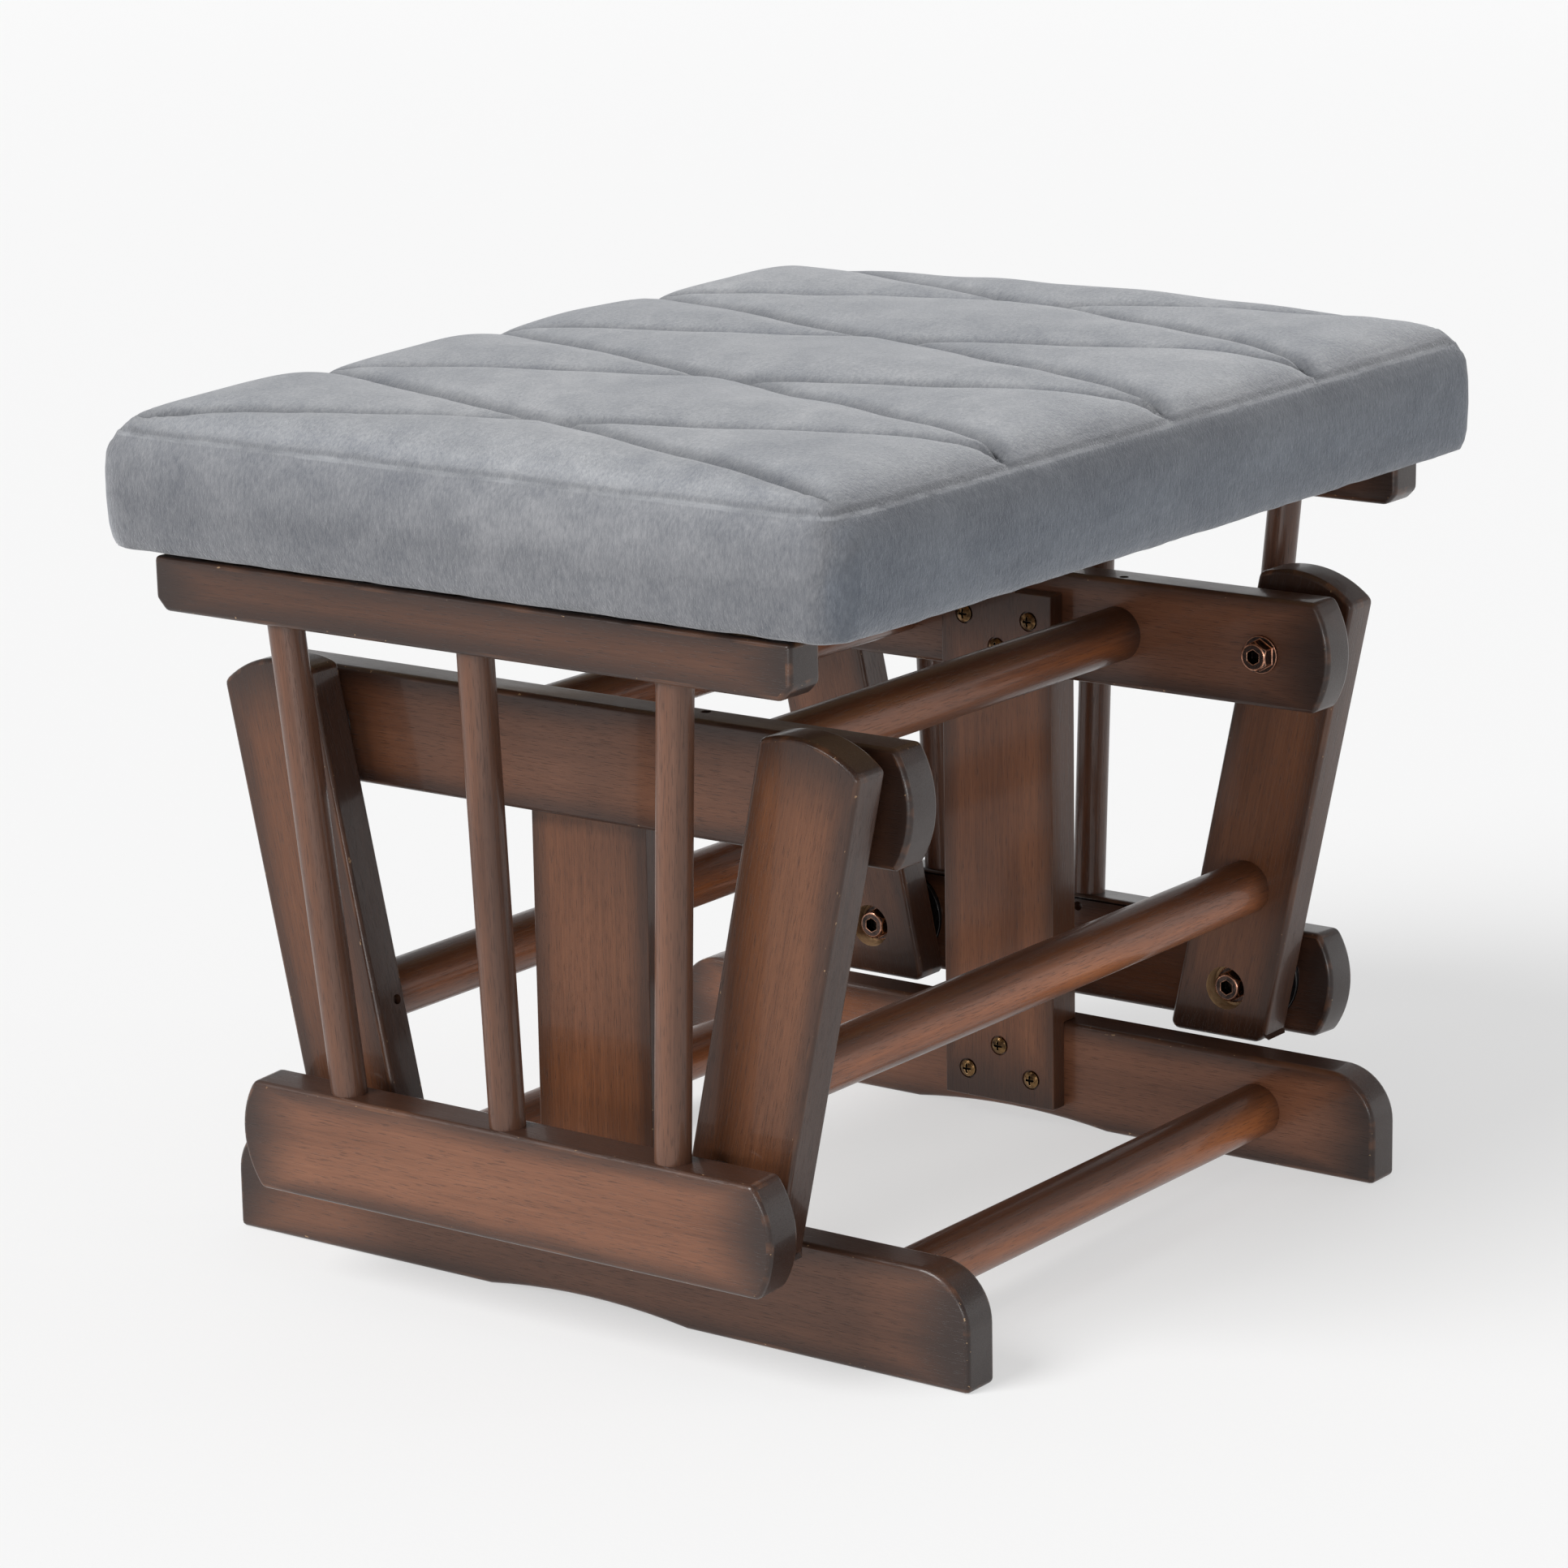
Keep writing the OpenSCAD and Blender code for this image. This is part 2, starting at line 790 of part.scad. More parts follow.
module left_seat_rail() {
    color(wood_color) to_left() seat_rail();
}

module right_seat_rail() {
    color(wood_color) seat_rail();
}

module front_crossbar() {
    color(wood_color) difference() {
        union() {
            block([-seat_rail_x0, -crossbar_y - crossbar_w / 2, seat_top_z - crossbar_h],
                [seat_rail_x0, -crossbar_y + crossbar_w / 2, seat_top_z]);
            crossbar_tenons(0);
        }
        seat_board_screw_holes();
    }
}

module rear_crossbar() {
    to_rear() front_crossbar();
}

module seat_board() {
    color(plywood_color) difference() {
        block([-seat_board_x, -seat_board_y, seat_top_z], [seat_board_x, seat_board_y, seat_top_z + seat_board_t]);
        front_and_rear() seat_board_screw_holes();
    }
}

module seat_board_screws() {
    color(brass_color) front_and_rear() at_seat_board_screws() {
        wood_screw(screw_d, screw_head_d, 2.8, crossbar_h + seat_board_t - 3);
    }
}

// ---- Cushion ----

// The cushion's outer block, with round upright corners, taller than its crown
module cushion_block() {
    x_in = cushion_w / 2 - cushion_corner_r;
    y_in = cushion_d / 2 - cushion_corner_r;
    top = seat_top_z + cushion_h + past;
    block([-cushion_w / 2, -y_in, seat_top_z], [cushion_w / 2, y_in, top]);
    block([-x_in, -cushion_d / 2, seat_top_z], [x_in, cushion_d / 2, top]);
    for (x = [-x_in, x_in], y = [-y_in, y_in]) bar_z(seat_top_z, top, x, y, 2 * cushion_corner_r);
}

// A wide roller along X, with its top at the given height and the crown's drop at the half-depth
module crown_roller(half_depth, top) {
    r = (pow(half_depth, 2) + pow(cushion_crown, 2)) / (2 * cushion_crown);
    bar_x(-cushion_w, cushion_w, 0, top - r, 2 * r, $fn = 720);
}

module cushion() {
    pocket = 0.3;
    top = seat_top_z + cushion_h;
    color(fabric_color) difference() {
        intersection() {
            cushion_block();
            crown_roller(cushion_d / 2, top);
            rotate([0, 0, 90]) crown_roller(cushion_w / 2, top + 1);
        }
        block([-seat_board_x - pocket, -seat_board_y - pocket, seat_top_z - 1],
            [seat_board_x + pocket, seat_board_y + pocket, seat_top_z + seat_board_t + pocket]);
    }
}

left_foot();
right_foot();
left_upright();
right_upright();
left_top_rail();
right_top_rail();
front_base_stretcher();
rear_base_stretcher();
front_top_stretcher();
rear_top_stretcher();
upright_screws();
base_pins();
upper_pivot_bolts();
upper_pivot_sleeves();
left_front_link();
right_front_link();
front_link_stretcher();
front_link_pins();
front_upper_hubs();
front_upper_hub_screws();
front_lower_bolts();
front_lower_sleeves();
left_rear_link();
right_rear_link();
rear_link_stretcher();
rear_link_pins();
rear_upper_hubs();
rear_upper_hub_screws();
rear_lower_bolts();
rear_lower_sleeves();
left_side_rail();
right_side_rail();
left_front_spindle();
left_middle_spindle();
left_rear_spindle();
right_front_spindle();
right_middle_spindle();
right_rear_spindle();
spindle_pins();
front_lower_hubs();
rear_lower_hubs();
lower_hub_screws();
left_seat_rail();
right_seat_rail();
front_crossbar();
rear_crossbar();
seat_board();
seat_board_screws();
cushion();
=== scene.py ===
import itertools
import json
import math

import bmesh
import bpy
import numpy as np
from mathutils import Matrix, Vector, noise


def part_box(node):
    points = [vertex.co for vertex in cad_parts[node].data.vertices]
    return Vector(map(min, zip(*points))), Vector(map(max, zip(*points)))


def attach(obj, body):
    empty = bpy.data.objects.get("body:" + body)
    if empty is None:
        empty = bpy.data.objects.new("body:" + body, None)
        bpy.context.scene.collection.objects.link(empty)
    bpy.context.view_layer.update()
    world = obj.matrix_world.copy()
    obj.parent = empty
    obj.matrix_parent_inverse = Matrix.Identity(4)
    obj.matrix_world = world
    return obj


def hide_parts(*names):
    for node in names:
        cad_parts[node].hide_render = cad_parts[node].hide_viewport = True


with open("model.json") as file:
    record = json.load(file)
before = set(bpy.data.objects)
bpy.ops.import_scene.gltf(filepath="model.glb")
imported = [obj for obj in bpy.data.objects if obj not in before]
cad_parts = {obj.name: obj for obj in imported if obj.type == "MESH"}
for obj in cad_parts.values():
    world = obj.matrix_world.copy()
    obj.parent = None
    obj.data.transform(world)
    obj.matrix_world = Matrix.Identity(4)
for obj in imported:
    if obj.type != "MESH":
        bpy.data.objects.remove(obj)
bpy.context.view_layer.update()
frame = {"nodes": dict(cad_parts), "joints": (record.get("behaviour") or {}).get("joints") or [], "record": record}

# Looks of the glider ottoman, in metres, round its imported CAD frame. Boards, rods, bolts, hubs and the
# frame's screws are copies of their CAD nodes, with rounded edges where they show. The cushion is an
# inflated cloth form with sewn quilting channels. The other CAD nodes only get better materials.

scene = bpy.context.scene
MM = 0.001
X, Y, Z = Vector((1, 0, 0)), Vector((0, 1, 0)), Vector((0, 0, 1))


# ---- Node graphs ----

class Graph:
    """A material's node tree, with short calls for the nodes that the finishes share."""

    def __init__(self, name):
        self.material = bpy.data.materials.new(name)
        self.material.use_nodes = True
        self.tree = self.material.node_tree
        self.shader = self.tree.nodes["Principled BSDF"]

    def add(self, kind, **settings):
        made = self.tree.nodes.new("ShaderNode" + kind)
        for key, value in settings.items():
            setattr(made, key, value)
        return made

    def feed(self, socket, value):
        """Links value to the socket if it is a socket, and otherwise sets it."""
        if isinstance(value, bpy.types.NodeSocket):
            self.tree.links.new(value, socket)
        else:
            socket.default_value = value

    def attribute(self, name, output="Vector"):
        return self.add("Attribute", attribute_name=name).outputs[output]

    def place(self):
        return self.add("TexCoord").outputs["Object"]

    def math(self, operation, a, b=0.0):
        made = self.add("Math", operation=operation)
        self.feed(made.inputs[0], a)
        self.feed(made.inputs[1], b)
        return made.outputs[0]

    def total(self, *terms):
        """The sum of sockets, each times its share, from pairs of the two."""
        shares = [self.math("MULTIPLY", socket, share) for socket, share in terms]
        found = shares[0]
        for share in shares[1:]:
            found = self.math("ADD", found, share)
        return found

    def scaled(self, vector, factors):
        made = self.add("VectorMath", operation="MULTIPLY")
        self.feed(made.inputs[0], vector)
        made.inputs[1].default_value = factors
        return made.outputs[0]

    def parts(self, vector):
        made = self.add("SeparateXYZ")
        self.feed(made.inputs[0], vector)
        return made.outputs

    def noise(self, vector, factors, detail=2.0, roughness=0.5, distortion=0.0):
        """Noise whose features are about 1 / factors metres long on each axis."""
        made = self.add("TexNoise")
        self.feed(made.inputs["Vector"], self.scaled(vector, factors))
        made.inputs["Scale"].default_value = 1.0
        made.inputs["Detail"].default_value = detail
        made.inputs["Roughness"].default_value = roughness
        made.inputs["Distortion"].default_value = distortion
        return made.outputs["Fac"]

    def ease(self, value, low, high, to_low=0.0, to_high=1.0):
        """Smoothly maps low..high to to_low..to_high, and stays at the ends outside it."""
        made = self.add("MapRange", interpolation_type="SMOOTHSTEP")
        for socket, number in zip(made.inputs, (value, low, high, to_low, to_high)):
            self.feed(socket, number)
        return made.outputs[0]

    def ramp(self, value, *stops):
        made = self.add("ValToRGB")
        self.feed(made.inputs[0], value)
        elements = made.color_ramp.elements
        while len(elements) < len(stops):
            elements.new(0.5)
        for element, (position, colour) in zip(elements, stops):
            element.position = position
            element.color = (*colour, 1)
        return made.outputs[0]

    def mix(self, factor, a, b, blend="MIX"):
        made = self.add("Mix", data_type="RGBA", blend_type=blend)
        self.feed(made.inputs["Factor"], factor)
        for socket, value in ((made.inputs["A"], a), (made.inputs["B"], b)):
            self.feed(socket, value if isinstance(value, bpy.types.NodeSocket) else (*value, 1))
        return made.outputs["Result"]

    def bump(self, height, depth):
        made = self.add("Bump")
        made.inputs["Strength"].default_value = 1.0
        made.inputs["Distance"].default_value = depth
        self.feed(made.inputs["Height"], height)
        self.feed(self.shader.inputs["Normal"], made.outputs[0])

    def finish(self, colour, roughness, **constants):
        """Sets the shader. The constants are its other sockets, such as Coat_Weight for Coat Weight."""
        self.feed(self.shader.inputs["Base Color"], colour)
        self.feed(self.shader.inputs["Roughness"], roughness)
        for key, value in constants.items():
            self.shader.inputs[key.replace("_", " ")].default_value = value
        return self.material


# ---- Wood, metal and plastic ----

def end_and_edge_shade(g, broad):
    """How dark the stain is near a board's ends and edges, with a border that wanders with the figure."""
    along, across, _ = g.parts(g.attribute("grain"))
    half_length, half_width, _ = g.parts(g.attribute("half"))
    from_end = g.math("SUBTRACT", half_length, g.math("ABSOLUTE", along))
    from_edge = g.math("SUBTRACT", half_width, g.math("ABSOLUTE", across))
    wander = g.math("MULTIPLY", g.math("SUBTRACT", broad, 0.5), 0.03)
    near_end = g.ease(g.math("ADD", from_end, wander), 0.0, 42 * MM, 1.0, 0.0)
    near_edge = g.ease(g.math("ADD", from_edge, g.math("MULTIPLY", wander, 0.3)), 0.0, 13 * MM, 0.82, 0.0)
    return g.math("MAXIMUM", near_end, near_edge)


def stained_wood(name, dark, middle, light, shading):
    """Stained, lacquered wood. It reads the attributes that grain_attributes stores on a piece: darker towards the
    ends and edges by shading, with worn edges and bare wood in drilled recesses, and each board's stain made
    lighter or darker as painted light and shade."""
    g = Graph(name)
    figure = g.attribute("figure")
    broad = g.noise(figure, (5, 22, 22), detail=2, distortion=0.4)
    streaks = g.noise(figure, (7, 300, 300), detail=3, roughness=0.6)
    fibres = g.noise(figure, (34, 1300, 1300), detail=2, roughness=0.6)
    pores = g.ease(g.noise(figure, (120, 2200, 2200), detail=1), 0.58, 0.70)
    tone = g.total((broad, 0.5), (streaks, 0.22), (fibres, 0.28))
    colour = g.ramp(tone, (0.34, dark), (0.5, middle), (0.66, light))
    colour = g.mix(g.math("MULTIPLY", pores, 0.5), colour, tuple(0.4 * c for c in dark))
    # Painted light and shade: each board's stain is multiplied by its own lighter or darker factor.
    _, _, painted_light_of_board = g.parts(g.attribute("half"))
    colour = g.mix(1.0, colour, painted_light_of_board, "MULTIPLY")
    shade = g.math("MULTIPLY", end_and_edge_shade(g, broad), shading)
    colour = g.mix(shade, colour, (0.017, 0.0095, 0.0075))

    edge = g.attribute("edge", "Fac")
    thin_stain = g.noise(figure, (30, 160, 160), detail=2)
    worn = g.math("MULTIPLY", edge, g.ease(thin_stain, 0.45, 0.75, 0.0, 0.30))
    colour = g.mix(worn, colour, (0.21, 0.085, 0.038))
    chip_noise = g.noise(figure, (260, 520, 520), detail=2, roughness=0.7)
    chips = g.math("MULTIPLY", edge, g.ease(chip_noise, 0.69, 0.73, 0.0, 0.7))
    raw_wood = g.ramp(streaks, (0.3, (0.30, 0.17, 0.085)), (0.7, (0.52, 0.35, 0.19)))
    colour = g.mix(chips, colour, raw_wood)
    bare = g.attribute("bare", "Fac")
    colour = g.mix(bare, colour, raw_wood)

    handling = g.noise(figure, (14, 40, 40), detail=3)
    roughness = g.math("ADD", g.ease(handling, 0.3, 0.7, 0.30, 0.41), g.math("MULTIPLY", bare, 0.35))
    g.bump(g.total((streaks, 0.5), (pores, -0.6), (fibres, 0.4)), 0.11 * MM)
    return g.finish(colour, roughness, Coat_Weight=0.24, Coat_Roughness=0.09, Specular_IOR_Level=0.34)


def plain_wood(name, light, dark, plies):
    """Unstained sheet wood on a CAD node, with its grain along X and its plies stacked along Z."""
    g = Graph(name)
    place = g.place()
    broad = g.noise(place, (3, 30, plies), detail=3, distortion=1.2)
    fibres = g.noise(place, (30, 900, 900), detail=2)
    g.bump(fibres, 0.1 * MM)
    return g.finish(g.ramp(g.total((broad, 0.7), (fibres, 0.3)), (0.35, dark), (0.65, light)), 0.62)


def worn_metal(name, body, worn, dirt, roughness, edge_share):
    """Plated metal with patina in patches. Rounded edges, marked by the edge attribute, are worn bright, and
    driving recesses, marked by the cavity attribute, are painted near black as painted shade."""
    g = Graph(name)
    place = g.place()
    patches = g.noise(place, (260, 260, 260), detail=4, roughness=0.65)
    scratches = g.noise(place, (900, 2600, 2600), detail=2)
    colour = g.mix(g.ease(patches, 0.42, 0.66), body, dirt)
    edge = g.math("MULTIPLY", g.attribute("edge", "Fac"), g.ease(patches, 0.32, 0.6, 1.0, 0.45))
    colour = g.mix(g.math("MULTIPLY", edge, edge_share), colour, worn)
    # Painted shade: driving recesses are painted near black.
    colour = g.mix(g.attribute("cavity", "Fac"), colour, (0.012, 0.009, 0.008))
    g.bump(scratches, 0.02 * MM)
    rough = g.ease(patches, 0.3, 0.7, roughness - 0.06, roughness + 0.12)
    return g.finish(colour, rough, Metallic=1.0)


def gloss_plastic(name):
    """Black injection-moulded plastic with faint flow marks and a little dust."""
    g = Graph(name)
    place = g.place()
    flow = g.noise(place, (60, 60, 60), detail=3)
    dust = g.noise(place, (700, 700, 700), detail=2)
    colour = g.mix(g.ease(dust, 0.62, 0.8, 0.0, 0.12), (0.010, 0.010, 0.011), (0.12, 0.115, 0.11))
    g.bump(flow, 0.12 * MM)
    return g.finish(colour, g.ease(flow, 0.3, 0.7, 0.13, 0.24), Coat_Weight=0.3, Coat_Roughness=0.08)


# ---- Velvet and paper ----

def quilting_shade(g):
    """Painted shade near the sewn channels: a thin painted shadow in the crease along each, and a wider painted
    shade on the slope on its +X side, which faces away from the light. The first two parts of the quilt attribute
    count the channels of each direction, so a channel runs where one of them is a whole number."""
    first, second, stitched = g.parts(g.attribute("quilt"))
    shades = []
    for phase in (first, second):
        beside = g.math("SUBTRACT", phase, g.math("ROUND", phase))
        beside = g.math("MULTIPLY", beside, CHANNEL_SPACING)
        near = g.ease(beside, -1.4 * MM, 0.0)
        line = g.math("MULTIPLY", near, g.ease(beside, 0.6 * MM, 2.8 * MM, 0.97, 0.0))
        slope = g.math("MULTIPLY", near, g.ease(beside, 0.0, 10 * MM, 0.60, 0.0))
        shades.append(g.math("MAXIMUM", line, slope))
    return g.math("MULTIPLY", g.math("MAXIMUM", *shades), stitched)


def seam_lines(g, colour, patches):
    """Adds the border seam: a soft painted shadow where the top is tucked in, and a painted highlight on the
    raised pile along the seam.
    """
    rise, border, _ = g.parts(g.attribute("seam"))
    tuck_shadow = g.ease(g.math("ABSOLUTE", g.math("SUBTRACT", rise, 1.5 * MM)), 0.2 * MM, 1.5 * MM, 0.26, 0.0)
    colour = g.mix(g.math("MULTIPLY", tuck_shadow, border), colour, (0.045, 0.048, 0.055))
    # Painted highlight: a pale line along the seam ridge.
    seam_highlight = g.ease(g.math("ABSOLUTE", rise), 0.2 * MM, 1.0 * MM, 1.0, 0.0)
    seam_highlight = g.math("MULTIPLY", seam_highlight, g.ease(patches, 0.35, 0.65, 0.12, 0.42))
    return g.mix(g.math("MULTIPLY", seam_highlight, border), colour, (0.36, 0.37, 0.39))


def velvet(name):
    """Grey brushed microfibre: a short pile lying in soft light and dark patches, with fine fibres. Painted light
    and shade make the top lighter and the side, front and back panels darker, by which way each face turns.
    """
    g = Graph(name)
    place = g.place()
    brushed = g.noise(place, (11, 11, 17), detail=3, roughness=0.55, distortion=0.6)
    patches = g.noise(place, (48, 48, 80), detail=3, roughness=0.6, distortion=0.4)
    flecks = g.noise(place, (620, 620, 260), detail=2, roughness=0.7)
    fibres = g.noise(place, (1600, 1600, 700), detail=2, roughness=0.7)
    tone = g.total((brushed, 0.36), (patches, 0.26), (flecks, 0.38))
    dark, middle, light = (0.1995, 0.2098, 0.2322), (0.2855, 0.2941, 0.3113), (0.3887, 0.3939, 0.4076)
    colour = g.ramp(tone, (0.36, dark), (0.5, middle), (0.64, light))
    # Painted light and shade by facing: the top is painted lighter, the side panels darker, and the front and back
    # panels darker and bluer.
    facing = g.math("ADD", g.math("MULTIPLY", g.attribute("facing_light", "Fac"), 0.5), 0.5)
    shaded_end_panel, shaded_side_panel, top = (0.37, 0.41, 0.465), (0.44, 0.44, 0.45), (0.99, 0.99, 0.99)
    painted_facing_light = g.ramp(facing, (0.1, shaded_end_panel), (0.5, shaded_side_panel), (1.0, top))
    colour = g.mix(1.0, colour, painted_facing_light, "MULTIPLY")
    # Painted shade along the quilting channels.
    colour = g.mix(quilting_shade(g), colour, (0.030, 0.033, 0.039))
    colour = seam_lines(g, colour, patches)
    g.bump(g.total((flecks, 0.6), (fibres, 0.5), (patches, 1.2)), 0.8 * MM)
    return g.finish(colour, 0.92, Sheen_Weight=0.5, Sheen_Roughness=0.45,
                    Sheen_Tint=(0.92, 0.93, 0.96, 1), Specular_IOR_Level=0.2)


def floor_paper(name):
    """Pale seamless paper, a little bright by itself so that it stays even behind the ottoman."""
    g = Graph(name)
    fine = g.noise(g.place(), (420, 420, 420), detail=2)
    g.bump(fine, 0.05 * MM)
    return g.finish((0.34, 0.34, 0.34, 1), 0.85, Specular_IOR_Level=0.1,
                    Emission_Color=(1, 1, 1, 1), Emission_Strength=0.55)


# ---- Meshes ----

def add_object(name, data):
    made = bpy.data.objects.new(name, data)
    scene.collection.objects.link(made)
    return made


def smooth_faces(mesh):
    mesh.polygons.foreach_set("use_smooth", [True] * len(mesh.polygons))


def store(mesh, name, values, domain="POINT"):
    """Stores one vector, or one number, for each vertex or face."""
    kind, field = ("FLOAT_VECTOR", "vector") if values.ndim == 2 else ("FLOAT", "value")
    layer = mesh.attributes.get(name) or mesh.attributes.new(name, kind, domain)
    layer.data.foreach_set(field, values.astype(np.float32).ravel())


def vertex_vectors(mesh, field):
    found = np.empty(len(mesh.vertices) * 3, np.float32)
    mesh.vertices.foreach_get(field, found)
    return found.reshape(-1, 3).astype(float)


def coordinates(mesh):
    return vertex_vectors(mesh, "co")


def move_vertices(mesh, points):
    mesh.vertices.foreach_set("co", points.astype(np.float32).ravel())
    mesh.update()


def islands(mesh):
    """The vertex numbers of each connected part of the mesh."""
    group = list(range(len(mesh.vertices)))

    def root(v):
        while group[v] != v:
            group[v] = group[group[v]]
            v = group[v]
        return v

    for edge in mesh.edges:
        a, b = (root(v) for v in edge.vertices)
        group[a] = b
    found = {}
    for v in range(len(group)):
        found.setdefault(root(v), []).append(v)
    return list(found.values())


# ---- Pieces from CAD nodes ----

SHARP = math.radians(28)
CREASED = math.radians(40)


def sharp_networks(bm):
    """Groups of connected edges whose faces meet at more than SHARP, as lists."""
    sharp = {e for e in bm.edges if len(e.link_faces) == 2 and e.calc_face_angle(0) > SHARP}
    groups = []
    while sharp:
        group, queue = [], [sharp.pop()]
        while queue:
            edge = queue.pop()
            group.append(edge)
            for vert in edge.verts:
                for other in vert.link_edges:
                    if other in sharp:
                        sharp.remove(other)
                        queue.append(other)
        groups.append(group)
    return groups


def span(edges):
    """The largest extent of the edges along any axis."""
    points = np.array([v.co for e in edges for v in e.verts])
    return float((points.max(0) - points.min(0)).max())


def worked_copy(node, name, radius, least_span=0.0, segments=3):
    """A copy of a CAD node's mesh, made into clean polygons, with each sharp edge network of at least
    least_span rounded to radius. The rounded faces get the edge attribute."""
    bm = bmesh.new()
    bm.from_mesh(frame["nodes"][node].data)
    bmesh.ops.remove_doubles(bm, verts=bm.verts, dist=0.004 * MM)
    bmesh.ops.dissolve_limit(bm, angle_limit=math.radians(0.4), verts=bm.verts, edges=bm.edges)
    chosen = [e for group in sharp_networks(bm) if span(group) >= least_span for e in group]
    mark = bm.faces.layers.float.new("edge")
    rounded = bmesh.ops.bevel(bm, geom=chosen, offset=radius, offset_type="OFFSET", segments=segments,
                              profile=0.5, affect="EDGES", clamp_overlap=False)
    for face in rounded["faces"]:
        face[mark] = 1.0
    for face in bm.faces:
        face.smooth = True
    for edge in bm.edges:
        edge.smooth = edge.calc_face_angle(0) < CREASED
    mesh = bpy.data.meshes.new(name)
    bm.to_mesh(mesh)
    bm.free()
    piece = add_object(name, mesh)
    piece.modifiers.new("normals", "WEIGHTED_NORMAL").keep_sharp = True
    return piece


def stand_in(piece, node, material):
    """Gives the piece its material, its body and its material slot, and hides the node."""
    piece.data.materials.append(material)
    bodies = frame["record"]["behaviour"]["bodies"]
    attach(piece, next(body for body, members in bodies.items() if node in members))
    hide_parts(node)
    return piece


def repaint(node, material):
    """A CAD node stays as it is, and only gets a better material."""
    materials = frame["nodes"][node].data.materials
    materials.clear()
    materials.append(material)


# ---- Wooden pieces ----

BOARD_EDGE = 2.4 * MM
LAP_EDGE = 0.7 * MM
SMALLEST_OUTLINE = 50 * MM
SPINDLE_DIAMETER = 16 * MM
RECESS_RADIUS = 11.2 * MM

board_wood = stained_wood("stained_board", (0.080, 0.030, 0.0145), (0.124, 0.049, 0.025),
                          (0.162, 0.067, 0.035), shading=0.94)
link_wood = stained_wood("stained_link", (0.078, 0.028, 0.012), (0.134, 0.050, 0.022),
                         (0.190, 0.075, 0.033), shading=0.82)
dowel_wood = stained_wood("stained_dowel", (0.145, 0.043, 0.013), (0.245, 0.078, 0.025),
                          (0.330, 0.115, 0.039), shading=0.86)
spindle_wood = stained_wood("stained_spindle", (0.085, 0.035, 0.019), (0.130, 0.056, 0.031),
                            (0.170, 0.075, 0.042), shading=0.45)

# Painted light and shade on each board: how much lighter or darker its stain is painted, where it isn't 1, for how
# lit or shaded the board stands.
PAINTED_LIGHT_BY_BOARD = {
    "left_foot": 0.80, "right_foot": 1.42,
    "left_top_rail": 0.92, "right_upright": 1.42,
    "left_seat_rail": 0.50, "right_seat_rail": 0.7,
    "left_side_rail": 1.12, "right_side_rail": 0.8,
    "left_front_link": 0.76, "left_rear_link": 0.74, "right_front_link": 0.92,
    "front_link_stretcher": 1.15, "front_top_stretcher": 0.75, "front_base_stretcher": 1.1,
}


def grain_attributes(piece, node, along, across, seed):
    """Stores where each vertex lies in the wood: along the grain, across the face, and through it. The seed moves
    the figure, so that no two boards share it, and half holds half sizes and the board's painted light and shade
    factor."""
    low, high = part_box(node)
    centre = np.array((low + high) / 2)
    axes = np.array([along, across, along.cross(across)])
    local = (coordinates(piece.data) - centre) @ axes.T
    half = (local.max(0) - local.min(0)) / 2
    store(piece.data, "grain", local)
    store(piece.data, "figure", local + seed * np.array([1.37, 0.71, 0.53]))
    store(piece.data, "half", np.tile([half[0], half[1], PAINTED_LIGHT_BY_BOARD.get(node, 1.0)], (len(local), 1)))


def make_board(node, along, across, material, edge, seed):
    """A board whose outline is rounded by edge, while its small holes and recesses stay crisp."""
    piece = worked_copy(node, node + "_wood", edge, SMALLEST_OUTLINE)
    grain_attributes(piece, node, along, across, seed)
    return stand_in(piece, node, material)


def make_rod(node, along, across, material, seed):
    """A round rod. Its ends are inside the boards, so none of its edges are rounded."""
    piece = worked_copy(node, node + "_wood", 0.4 * MM, least_span=math.inf)
    grain_attributes(piece, node, along, across, seed)
    return stand_in(piece, node, material)


def lean_of(node, diameter):
    """Unit vector along a round rod that rises along Z and leans outwards in X and Y, from its box."""
    low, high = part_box(node)
    size, middle = high - low, (low + high) / 2
    lean_x = math.copysign(max(size.x - diameter, 0.0), middle.x)
    lean_y = math.copysign(max(size.y - diameter, 0.0), middle.y)
    return Vector((lean_x, lean_y, size.z)).normalized()


def pivot(joint):
    """Where one of the front links' joints turns."""
    return next(Vector(j["pos_m"]) for j in frame["joints"] if j["name"] == joint)


def link_direction(end):
    """Unit vector up the front (end -1) or rear (end 1) links, which mirror each other."""
    up = pivot("front_link_swing") - pivot("seat_pivot")
    return Vector((0, -end * up.y, up.z)).normalized()


def bare_recess(piece, end):
    """Marks the faces of a link's recess round its lower pivot bolt as bare wood."""
    centre = pivot("seat_pivot")
    centre.y *= -end
    points = coordinates(piece.data)
    away = np.hypot(points[:, 1] - centre.y, points[:, 2] - centre.z)
    marks = [float(max(away[list(f.vertices)]) < RECESS_RADIUS) for f in piece.data.polygons]
    store(piece.data, "bare", np.array(marks), "FACE")


